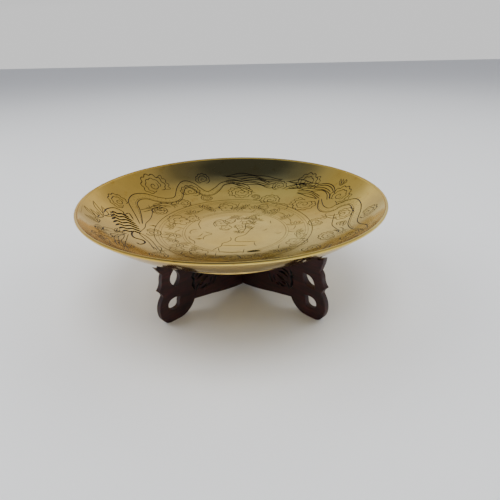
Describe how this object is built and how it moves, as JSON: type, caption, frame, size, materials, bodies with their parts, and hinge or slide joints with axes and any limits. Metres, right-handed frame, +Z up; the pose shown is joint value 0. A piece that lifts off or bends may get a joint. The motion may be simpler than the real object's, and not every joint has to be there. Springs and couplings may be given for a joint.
{
  "type": "brass tray table",
  "caption": "Round engraved brass dish that lifts off a low folding cross stand of pierced, carved hardwood boards, for serving or display on a table.",
  "frame": {"origin": "on the surface the stand's feet rest on, under the middle of the dish", "axes": "+Z up through the dish, -Y towards the front of the stand, +X to the right seen from the front"},
  "size_m": [0.3, 0.3, 0.1017],
  "materials": {
    "dish_brass": "polished yellow brass, lightly tarnished in the engraved lines",
    "rosewood": "dark red-brown stained and waxed hardwood",
    "pin_brass": "dull turned brass"
  },
  "bodies": {
    "stand": {"upper_crosspiece": "rosewood", "pivot_pin": "pin_brass", "top_washer": "pin_brass", "bottom_washer": "pin_brass"},
    "folding_half": {"lower_crosspiece": "rosewood"},
    "loose_dish": {"dish": "dish_brass", "dish_foot_ring": "dish_brass"}
  },
  "joints": [
    {"name": "stand_fold", "type": "hinge", "parent": "stand", "child": "folding_half", "pos_m": [0.0087, 0.0042, 0.0157], "axis": [0, 0, 1], "range_deg": [0, 90]},
    {"name": "dish_lift", "type": "slide", "parent": "stand", "child": "loose_dish", "axis": [0, 0, 1], "range_m": [0, 0.12]}
  ]
}
